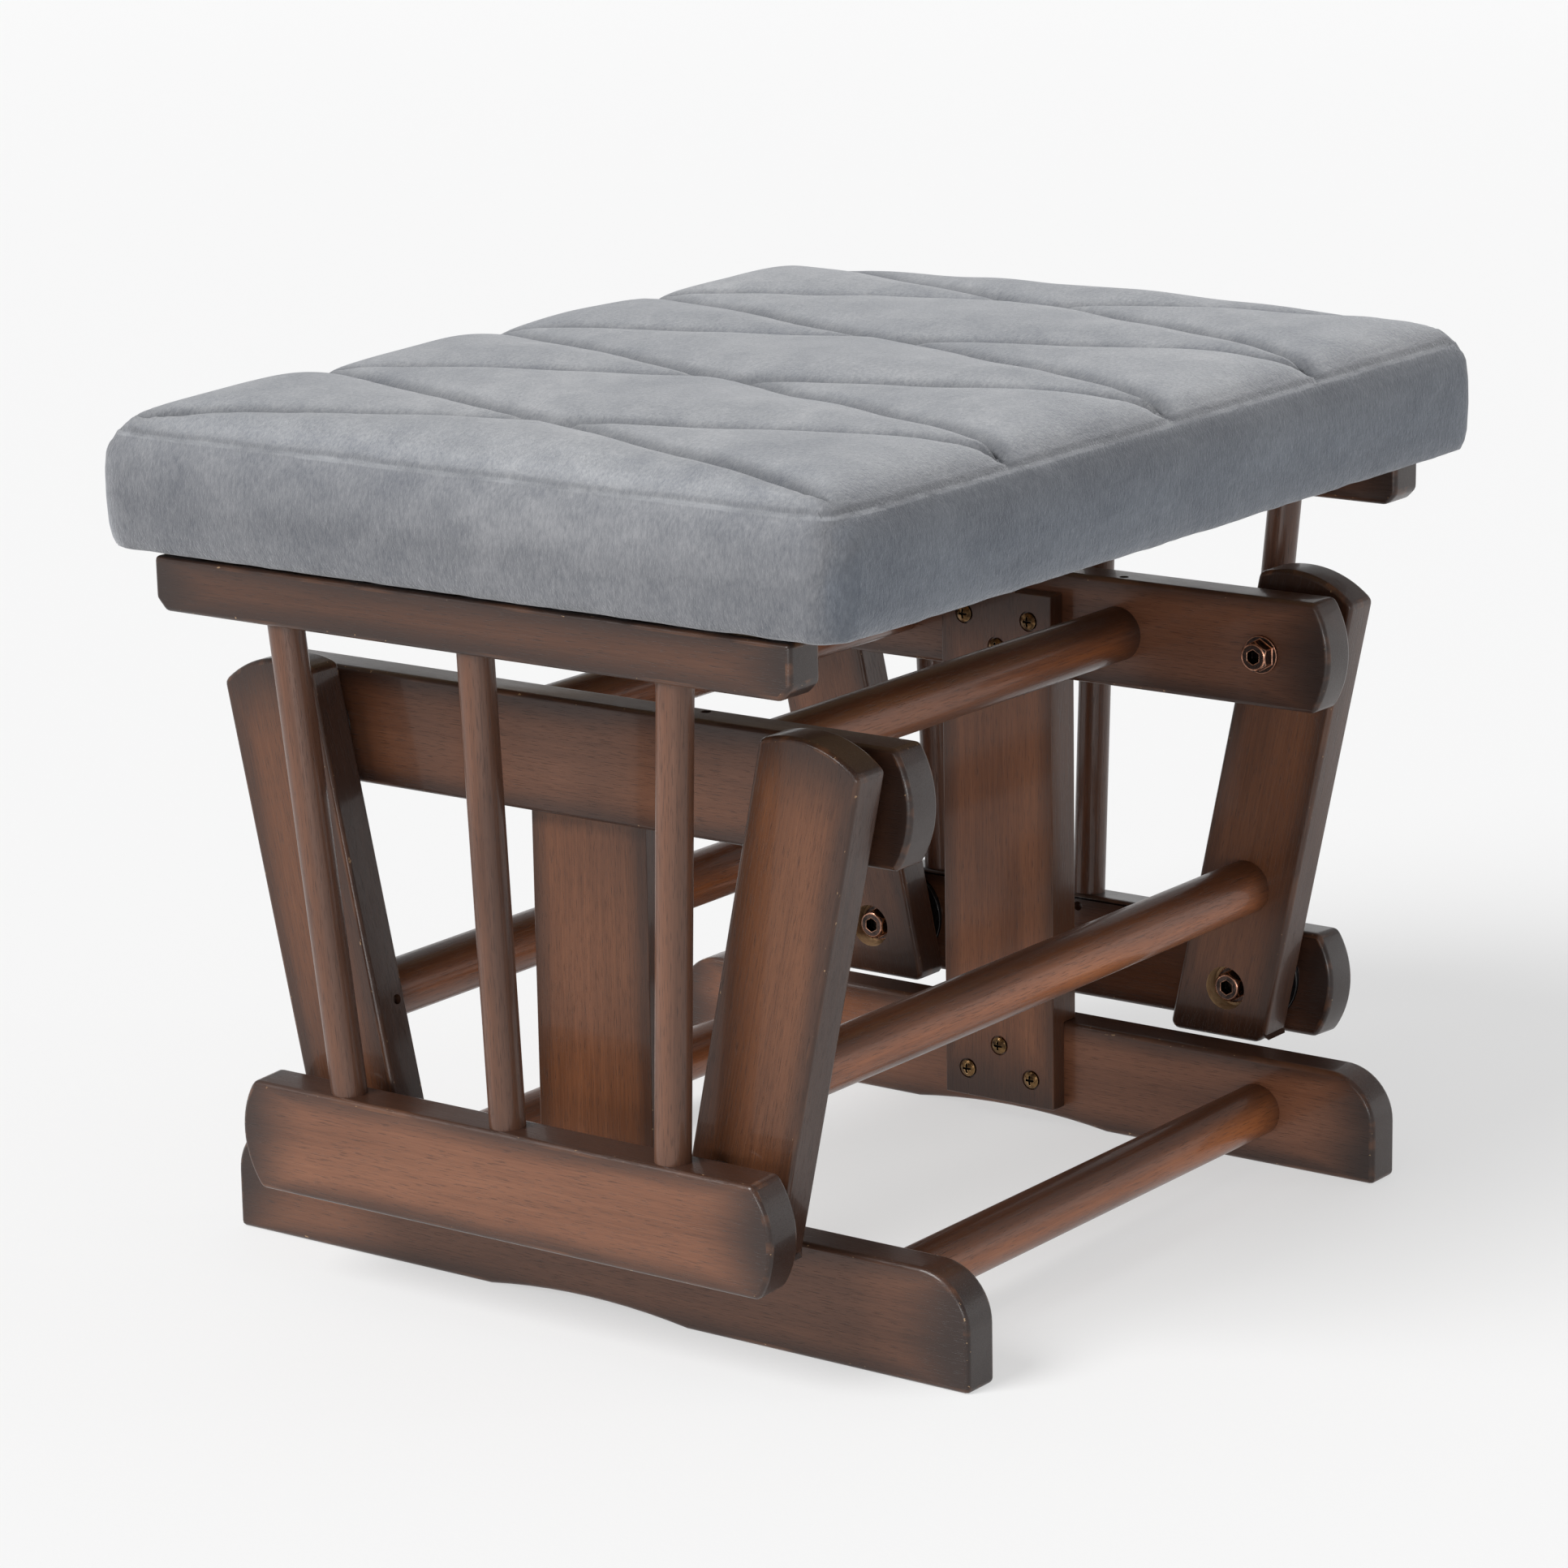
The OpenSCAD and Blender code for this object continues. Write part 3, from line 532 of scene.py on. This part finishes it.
def make_wood():
    seeds = itertools.count(1)
    for side in ("left", "right"):
        for part in ("foot", "top_rail", "side_rail", "seat_rail"):
            make_board(f"{side}_{part}", Y, Z, board_wood, BOARD_EDGE, next(seeds))
        make_board(f"{side}_upright", Z, Y, link_wood, LAP_EDGE, next(seeds))
        for end, sign in (("front", -1), ("rear", 1)):
            up = link_direction(sign)
            link = make_board(f"{side}_{end}_link", up, up.cross(X), link_wood, BOARD_EDGE, next(seeds))
            bare_recess(link, sign)
        for place in ("front", "middle", "rear"):
            node = f"{side}_{place}_spindle"
            lean = lean_of(node, SPINDLE_DIAMETER)
            make_rod(node, lean, lean.cross(X).normalized(), spindle_wood, next(seeds))
    for end in ("front", "rear"):
        for part in ("base_stretcher", "top_stretcher", "link_stretcher"):
            make_rod(f"{end}_{part}", X, Z, dowel_wood, next(seeds))
        make_board(f"{end}_crossbar", X, Y, board_wood, LAP_EDGE, next(seeds))


# ---- Metal and plastic pieces ----

HEAD_DEPTH = 5 * MM


def breadth(points, axis):
    """The largest extent of the points across the axis."""
    return np.ptp(points - np.outer(points @ axis, axis), axis=0).max()


def dark_sockets(piece, radius, depth):
    """Marks the driving recess in the head of each screw or bolt of a piece, where the metal is painted near black
    as shade. A face in the head belongs to it if it lies within radius of the axis, and stands along the axis or
    lies depth below the top."""
    points = coordinates(piece.data)
    faces = np.array([f.center for f in piece.data.polygons])
    normals = np.array([f.normal for f in piece.data.polygons])
    first = np.array([f.vertices[0] for f in piece.data.polygons])
    marks = np.zeros(len(faces))
    for part in islands(piece.data):
        cloud = points[part]
        axis = np.linalg.svd(cloud - cloud.mean(0), full_matrices=False)[2][0]
        along = cloud @ axis
        middle = (along.max() + along.min()) / 2
        if breadth(cloud[along <= middle], axis) > breadth(cloud[along > middle], axis):
            axis, along = -axis, -along
        out = faces - (cloud.min(0) + cloud.max(0)) / 2
        reach = np.linalg.norm(out - np.outer(out @ axis, axis), axis=1)
        below_top = along.max() - faces @ axis
        inner = np.isin(first, part) & (reach < radius) & (below_top < HEAD_DEPTH)
        marks[inner & ((np.abs(normals @ axis) < 0.5) | (below_top > depth))] = 1.0
    store(piece.data, "cavity", marks, "FACE")


def make_hardware():
    bronze = worn_metal("oil_rubbed_bronze", body=(0.085, 0.058, 0.050), worn=(0.74, 0.38, 0.25),
                        dirt=(0.034, 0.028, 0.026), roughness=0.28, edge_share=1.0)
    brass = worn_metal("antique_brass", body=(0.20, 0.115, 0.05), worn=(0.62, 0.42, 0.22),
                       dirt=(0.05, 0.030, 0.016), roughness=0.30, edge_share=1.0)
    steel = worn_metal("plain_steel", body=(0.42, 0.41, 0.40), worn=(0.6, 0.6, 0.6),
                       dirt=(0.22, 0.21, 0.20), roughness=0.35, edge_share=0.5)
    plastic = gloss_plastic("gloss_black_plastic")
    for node in ("upper_pivot_bolts", "front_lower_bolts", "rear_lower_bolts"):
        piece = stand_in(worked_copy(node, node + "_bronze", 0.45 * MM, segments=2), node, bronze)
        dark_sockets(piece, radius=3.6 * MM, depth=1.5 * MM)
    for node in ("upright_screws", "front_upper_hub_screws", "rear_upper_hub_screws", "lower_hub_screws"):
        piece = stand_in(worked_copy(node, node + "_brass", 0.10 * MM, segments=1), node, brass)
        dark_sockets(piece, radius=2.6 * MM, depth=0.7 * MM)
    for node in ("front_upper_hubs", "rear_upper_hubs", "front_lower_hubs", "rear_lower_hubs"):
        stand_in(worked_copy(node, node + "_moulding", 0.5 * MM, least_span=30 * MM), node, plastic)
    finishes = {"plain_steel": steel, "antique_brass": brass}
    for part in frame["record"]["subparts"]:
        shown = not frame["nodes"][part["node"]].hide_render
        if shown and part["material_slot"] in finishes:
            repaint(part["node"], finishes[part["material_slot"]])
    birch = plain_wood("birch_plywood", light=(0.56, 0.40, 0.24), dark=(0.40, 0.27, 0.15), plies=700)
    repaint("seat_board", birch)


# ---- Cushion: its form ----

_, board_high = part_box("seat_board")
pad_low, pad_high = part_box("cushion")
SEAM_X, SEAM_Y = pad_high.x - 6.5 * MM, pad_high.y - 8 * MM
SEAM_Z = pad_low.z + 52.5 * MM
SEAM_RADIUS = 11 * MM
FOAM_TOP = SEAM_Z + 12 * MM
BORDER_ZONE = 16 * MM

# The quilting has CELLS cells side by side. In each, two channels run from front to back and cross.
CELLS = 4
CELL = 2 * SEAM_X * 0.975 / CELLS
CHANNEL_ENDS = [CELL * (i - CELLS / 2) for i in range(CELLS + 1)]
CHANNEL_SPACING = CELL * 2 * SEAM_Y / math.hypot(CELL, 2 * SEAM_Y)

OUTLINE_POINTS = 160
VOXEL = 5 * MM
SWELL = 8 * MM
SWELL_FRAMES = 20
SNAP = 1.35 * MM


def rounded_outline(half_x, half_y, radius):
    """Points evenly round a rectangle with round corners, anticlockwise from (half_x, 0)."""
    straight_x, straight_y, turn = half_x - radius, half_y - radius, math.pi / 2 * radius
    quarter = straight_y + turn + straight_x

    def in_first_quarter(way):
        if way < straight_y:
            return half_x, way
        if way < straight_y + turn:
            angle = (way - straight_y) / radius
            return straight_x + radius * math.cos(angle), straight_y + radius * math.sin(angle)
        return quarter - way, half_y

    points = []
    for i in range(OUTLINE_POINTS):
        quarters, way = divmod(4 * quarter * i / OUTLINE_POINTS, quarter)
        x, y = in_first_quarter(quarter - way if quarters % 2 else way)
        points.append((x if quarters in (0, 3) else -x, y if quarters < 2 else -y))
    return points


def edge_distance(x, y):
    """How far a point lies inside the seam's rounded outline."""
    dx = np.maximum(np.abs(x) - (SEAM_X - SEAM_RADIUS), 0)
    dy = np.maximum(np.abs(y) - (SEAM_Y - SEAM_RADIUS), 0)
    in_corner = (dx > 0) & (dy > 0)
    plain = np.minimum(SEAM_X - np.abs(x), SEAM_Y - np.abs(y))
    return np.where(in_corner, SEAM_RADIUS - np.hypot(dx, dy), plain)


def corner_share(x, y):
    """1 at the seam's corners, and nearly 0 from 40 mm away."""
    return np.exp(-((SEAM_X - np.abs(x)) ** 2 + (SEAM_Y - np.abs(y)) ** 2) / (20 * MM) ** 2)


def foam_height(x, y):
    """Height of the sewn-down top: it rises steeply from the seam and flattens towards the middle."""
    inside = np.maximum(edge_distance(x, y), 0)
    roll = (10 - 4 * corner_share(x, y)) * MM
    return SEAM_Z + (FOAM_TOP - SEAM_Z) * (1 - np.exp(-inside / roll))


def cushion_form():
    """The closed form that is inflated, slightly small: flat below, boxed round, and crowned on top."""
    rings = []
    for inset, height in ((20, 0.0), (1, 0.0), (-1.5, 2.5), (-3, 12), (-3.5, 28), (-2.5, 40), (-0.5, 49)):
        outline = rounded_outline(SEAM_X - inset * MM, SEAM_Y - inset * MM, SEAM_RADIUS + 2 * MM)
        rings.append([(x, y, pad_low.z + height * MM) for x, y in outline])
    seam = np.array(rounded_outline(SEAM_X, SEAM_Y, SEAM_RADIUS))
    for share in (1.0, 0.985, 0.96, 0.92, 0.87, 0.8, 0.7, 0.55, 0.35, 0.15):
        x, y = (seam * share).T
        rings.append(list(zip(x.tolist(), y.tolist(), foam_height(x, y).tolist())))
    verts = [p for ring in rings for p in ring] + [(0, 0, pad_low.z), (0, 0, FOAM_TOP)]
    bottom, top = len(verts) - 2, len(verts) - 1
    count = OUTLINE_POINTS
    last = (len(rings) - 1) * count
    faces = []
    for i in range(count):
        j = (i + 1) % count
        faces.append((bottom, j, i))
        faces.append((last + i, last + j, top))
        for k in range(0, last, count):
            faces.append((k + i, k + j, k + count + j, k + count + i))
    mesh = bpy.data.meshes.new("cushion_form")
    mesh.from_pydata(verts, [], faces)
    return mesh


def applied(piece, mesh_name):
    """Replaces the piece's mesh by the one that its modifiers make, and removes them."""
    evaluated = piece.evaluated_get(bpy.context.evaluated_depsgraph_get())
    piece.data = bpy.data.meshes.new_from_object(evaluated)
    piece.data.name = mesh_name
    piece.modifiers.clear()


def channel_distance(x, y):
    """Distance to the nearest sewn channel, and the nearest point on it."""
    best = np.full(len(x), 1.0)
    near_x, near_y = x.copy(), y.copy()
    for left, right in zip(CHANNEL_ENDS, CHANNEL_ENDS[1:]):
        for start, end in ((left, right), (right, left)):
            dx, dy = end - start, 2 * SEAM_Y
            t = np.clip(((x - start) * dx + (y + SEAM_Y) * dy) / (dx * dx + dy * dy), 0, 1)
            px, py = start + t * dx, -SEAM_Y + t * dy
            away = np.hypot(x - px, y - py)
            closer = away < best
            best = np.where(closer, away, best)
            near_x, near_y = np.where(closer, px, near_x), np.where(closer, py, near_y)
    return best, near_x, near_y


def inflate(piece, sewn):
    """Swells the form as cloth under pressure, held where it is sewn, by at most SWELL."""
    before = coordinates(piece.data)
    group = piece.vertex_groups.new(name="sewn")
    group.add([int(i) for i in np.flatnonzero(sewn)], 1.0, "REPLACE")
    cloth = piece.modifiers.new("Cloth", "CLOTH")
    cloth.settings.use_pressure = True
    cloth.settings.uniform_pressure_force = 4.0
    cloth.settings.effector_weights.gravity = 0.0
    cloth.settings.vertex_group_mass = "sewn"
    cloth.settings.quality = 5
    cloth.settings.mass = 0.3
    cloth.settings.tension_stiffness = 15
    cloth.settings.compression_stiffness = 15
    cloth.settings.shear_stiffness = 8
    cloth.settings.bending_stiffness = 0.6
    cloth.point_cache.frame_end = SWELL_FRAMES
    for number in range(1, SWELL_FRAMES + 1):
        scene.frame_set(number)
    evaluated = piece.evaluated_get(bpy.context.evaluated_depsgraph_get())
    move = coordinates(evaluated.data) - before
    piece.modifiers.clear()
    length = np.linalg.norm(move, axis=1, keepdims=True)
    move *= SWELL * np.tanh(length / SWELL) / np.maximum(length, 1e-9)
    move_vertices(piece.data, before + move)
    scene.frame_set(1)


# ---- Cushion: its sewing ----

def waves(points, size, seed):
    """Smooth noise from -1 to 1 at each point, with waves about size long."""
    offset = Vector((seed * 7.3, seed * 3.1, seed * 5.7))
    return np.array([noise.noise(Vector(p) / size + offset) for p in points])


def outward(x, y):
    """Unit vectors that point straight out of the seam's outline, for points near it."""
    dx = np.maximum(np.abs(x) - (SEAM_X - SEAM_RADIUS), 0) * np.sign(x)
    dy = np.maximum(np.abs(y) - (SEAM_Y - SEAM_RADIUS), 0) * np.sign(y)
    on_side = (np.abs(dx) < 1e-9) & (np.abs(dy) < 1e-9)
    dx = np.where(on_side & (SEAM_X - np.abs(x) < SEAM_Y - np.abs(y)), np.sign(x), dx)
    dy = np.where(on_side & (dx == 0), np.sign(y), dy)
    return np.stack([dx, dy, np.zeros(len(x))], 1) / np.hypot(dx, dy)[:, None]


def shape_border(points, normals):
    """Gives the boxed border its profile: tucked in at the hem and the seam, and full between them."""
    x, y, z = points.T
    above_hem = (z - pad_low.z) / MM
    fullness = np.interp(above_hem, (0, 2, 6, 12, 24, 36, 44, 49, 51.5, 53),
                         (0.4, 2.4, 4.4, 5.7, 6.4, 6.2, 5.2, 3.2, 1.5, 0.2))
    inside = edge_distance(x, y)
    border = np.abs(inside) < BORDER_ZONE
    upright = np.clip((0.95 - np.abs(normals[:, 2])) / 0.3, 0, 1) * border
    fade = np.clip(1 - (z - SEAM_Z) / (4 * MM), 0, 1)
    slack = 0.8 * MM * waves(points, 55 * MM, 6) * np.clip(np.minimum(above_hem, 52 - above_hem) / 12, 0, 1)
    out = outward(x, y)
    points += out * ((inside + fullness * MM + slack) * upright * fade)[:, None]
    tucked = 1.8 * MM * corner_share(x, y) * np.exp(-((z - SEAM_Z) / (3 * MM)) ** 2)
    points -= out * (tucked * border)[:, None]


def snap_to_channels(points, normals, on_top):
    """Moves the vertices nearest the channels onto them, and returns every vertex's distance to one."""
    x, y, _ = points.T
    away, near_x, near_y = channel_distance(x, y)
    snap = on_top & (away < SNAP) & (normals[:, 2] > 0.5)
    points[snap, 0], points[snap, 1] = near_x[snap], near_y[snap]
    return np.where(snap, 0.0, away)


def press_channels(points, normals, on_top, inside, away, pucker):
    """Presses the channels into the top, each in a soft valley between wide pillows. Returns the quilt
    attribute: two counts of the channels up to a vertex, one for each direction, and how tightly the
    stitches pull there."""
    x, y, _ = points.T
    fade = np.clip(inside / (24 * MM), 0, 1) * on_top
    stitched = np.clip(inside / (8 * MM), 0.35, 1) * on_top * (1 - 0.75 * corner_share(x, y))
    along = (y + SEAM_Y) / (2 * SEAM_Y)
    quilt = np.column_stack([x / CELL - along, x / CELL + along, stitched])
    channel = 3.8 * np.exp(-(away / (2.1 * MM)) ** 2) * stitched
    valley = 2.4 * np.exp(-(away / (6 * MM)) ** 2) * (1 + 0.35 * pucker) * np.sqrt(fade)
    pillow = 2.2 * np.exp(-(away / (20 * MM)) ** 2) * fade
    points -= normals * ((channel + valley + pillow) * MM)[:, None]
    return quilt


def press_seam(points, normals, border, pucker):
    """Levels the vertices at the border seam and presses a groove on each side of it. Returns how far
    each vertex lies above the seam, at most 10 mm."""
    seam_height = SEAM_Z + 0.35 * MM * waves(points * [1, 1, 0], 9 * MM, 2)
    rise = points[:, 2] - seam_height
    ridge = border & (np.abs(rise) < SNAP)
    points[ridge, 2] = seam_height[ridge]
    above = np.exp(-((rise - 3.4 * MM) / (1.5 * MM)) ** 2)
    below = np.exp(-((rise + 3.2 * MM) / (1.5 * MM)) ** 2)
    depth = (0.35 * above * (1 + 0.5 * pucker) + 0.3 * below) * border * ~ridge
    points -= normals * (depth * MM)[:, None]
    return np.where(ridge, 0.0, np.clip(rise, -10 * MM, 10 * MM))


def gather_hem(points, out, border):
    """Puckers the lower edge of the border."""
    low = np.clip(1 - (points[:, 2] - pad_low.z) / (16 * MM), 0, 1) ** 1.5 * border
    gathers = waves(points * [1, 1, 0.25], 8 * MM, 3) + waves(points * [1, 1, 0.25], 26 * MM, 4)
    points += out * (low * 0.8 * MM * gathers)[:, None]
    points[:, 2] += low * 0.35 * MM * waves(points * [1, 1, 0], 11 * MM, 5)


def sew(piece):
    """Presses the sewn channels, the border seam and the puckered hem into the swollen form."""
    points = coordinates(piece.data)
    normals = vertex_vectors(piece.data, "normal")
    shape_border(points, normals)
    x, y, z = points.T
    inside = edge_distance(x, y)
    border = np.abs(inside) < BORDER_ZONE
    on_top = (z > SEAM_Z + 0.5 * MM) & (normals[:, 2] > 0.1)
    points[:, 2] = np.where(on_top, np.maximum(z, foam_height(x, y) - 0.6 * MM), z)
    away = snap_to_channels(points, normals, on_top)
    pucker = waves(points, 9 * MM, 1)
    quilt = press_channels(points, normals, on_top, inside, away, pucker)
    out = outward(x, y)
    rise = press_seam(points, normals, border, pucker)
    gather_hem(points, out, border)
    points += normals * (on_top * 0.9 * MM * waves(points, 45 * MM, 7))[:, None]
    store(piece.data, "quilt", quilt)
    store(piece.data, "seam", np.column_stack([rise, border, np.zeros(len(rise))]))
    # Painted light by facing: high on faces that turn up, low on faces that turn to the front or back.
    store(piece.data, "facing_light", np.clip(normals[:, 2], 0, 1) - 0.8 * normals[:, 1] ** 2)
    move_vertices(piece.data, points)


def fit_box(piece):
    """Keeps the cushion in its CAD node's box with its seam at SEAM_Z, and hollows its underside for
    the seat board."""
    points = coordinates(piece.data)
    low, high = points.min(0), points.max(0)
    goal_low, goal_high = np.array(pad_low), np.array(pad_high)
    under = (points[:, 2] < pad_low.z + 2 * MM) & (vertex_vectors(piece.data, "normal")[:, 2] < -0.5)
    flat = goal_low[:2] + (points[:, :2] - low[:2]) / (high - low)[:2] * (goal_high - goal_low)[:2]
    heights = np.interp(points[:, 2], (low[2], SEAM_Z, high[2]), (goal_low[2], SEAM_Z, goal_high[2]))
    points = np.column_stack([flat, heights])
    over_board = (np.abs(points[:, 0]) < board_high.x) & (np.abs(points[:, 1]) < board_high.y)
    points[under & over_board, 2] = board_high.z - 0.3 * MM
    move_vertices(piece.data, points)


def make_cushion():
    piece = add_object("cushion_velvet", cushion_form())
    remesh = piece.modifiers.new("remesh", "REMESH")
    remesh.mode = "VOXEL"
    remesh.voxel_size = VOXEL
    applied(piece, "cushion_velvet")
    x, y, z = coordinates(piece.data).T
    away, _, _ = channel_distance(x, y)
    channels = (away < 2.6 * MM) & (z > SEAM_Z + 1 * MM)
    seam = (np.abs(z - SEAM_Z) < 3.0 * MM) & (np.abs(edge_distance(x, y)) < 6 * MM)
    underside = z < pad_low.z + 2.5 * MM
    inflate(piece, channels | seam | underside)
    finer = piece.modifiers.new("finer", "SUBSURF")
    finer.levels = finer.render_levels = 1
    applied(piece, "cushion_velvet")
    piece.vertex_groups.clear()
    sew(piece)
    fit_box(piece)
    smooth_faces(piece.data)
    stand_in(piece, "cushion", velvet("grey_velvet"))


# ---- Studio ----

def make_camera():
    """A long lens from the front left, a little above the footrest."""
    azimuth, elevation, roll = math.radians(-53.614), math.radians(13.931), math.radians(-1.007)
    flat = math.cos(elevation)
    forward = Vector((-math.sin(azimuth) * flat, math.cos(azimuth) * flat, -math.sin(elevation)))
    level = Vector((math.cos(azimuth), math.sin(azimuth), 0))
    upright = level.cross(forward)
    right = level * math.cos(roll) + upright * math.sin(roll)
    up = upright * math.cos(roll) - level * math.sin(roll)
    camera = add_object("camera", bpy.data.cameras.new("camera"))
    camera.data.sensor_width = 36.0
    camera.data.lens = 123.26
    camera.matrix_world = Matrix((right, up, -forward)).transposed().to_4x4()
    camera.location = (-1.9343, -1.4072, 0.7940)
    scene.camera = camera


def make_floor():
    """A wide round sheet of paper, with a rim that curves up far from the ottoman on all sides."""
    flat, rim, height, steps, count = 8.0, 1.0, 2.6, 10, 96
    curve = [i / steps * math.pi / 2 for i in range(1, steps + 1)]
    profile = [(1.5, 0.0), (4.0, 0.0), (flat, 0.0)]
    profile += [(flat + rim * math.sin(a), rim - rim * math.cos(a)) for a in curve]
    profile += [(flat + rim, height)]
    angles = [i / count * math.tau for i in range(count)]
    verts = [(0, 0, 0)]
    verts += [(reach * math.cos(a), reach * math.sin(a), z) for reach, z in profile for a in angles]
    faces = [(0, 1 + i, 1 + (i + 1) % count) for i in range(count)]
    for a in range(1, len(verts) - count, count):
        b = a + count
        faces += [(a + i, b + i, b + (i + 1) % count, a + (i + 1) % count) for i in range(count)]
    mesh = bpy.data.meshes.new("floor")
    mesh.from_pydata(verts, [], faces)
    smooth_faces(mesh)
    mesh.materials.append(floor_paper("studio_paper"))
    floor = add_object("floor", mesh)


def make_lamp(name, kind, place, aim, power, **settings):
    lamp = add_object(name, bpy.data.lights.new(name, kind))
    lamp.data.energy = power
    for key, value in settings.items():
        setattr(lamp.data, key, value)
    lamp.location = place
    lamp.rotation_euler = (Vector(aim) - Vector(place)).to_track_quat("-Z", "Y").to_euler()


def make_light():
    """Even white surroundings, a broad soft key from the left, two low fills, and a strip on the right."""
    world = bpy.data.worlds.new("studio")
    world.use_nodes = True
    background = world.node_tree.nodes["Background"]
    background.inputs["Color"].default_value = (0.955, 0.96, 0.965, 1)
    background.inputs["Strength"].default_value = 0.40
    scene.world = world
    centre = (0, 0, 0.2)
    make_lamp("key", "SUN", (-2.3, 0.9, 2.5), centre, 3.1, angle=math.radians(32))
    make_lamp("fill", "AREA", (-2.3, -0.5, 0.5), centre, 2.5, shape="RECTANGLE", size=1.8, size_y=0.8)
    make_lamp("low", "AREA", (-1.9, -1.0, 0.22), (0.1, 0, 0.15), 7, shape="RECTANGLE", size=1.0, size_y=0.3)
    make_lamp("strip", "AREA", (1.5, -2.2, 1.0), centre, 3.5, shape="RECTANGLE", size=0.3, size_y=1.6)
    scene.view_settings.view_transform = "Standard"


make_wood()
make_hardware()
make_cushion()
make_camera()
make_floor()
make_light()
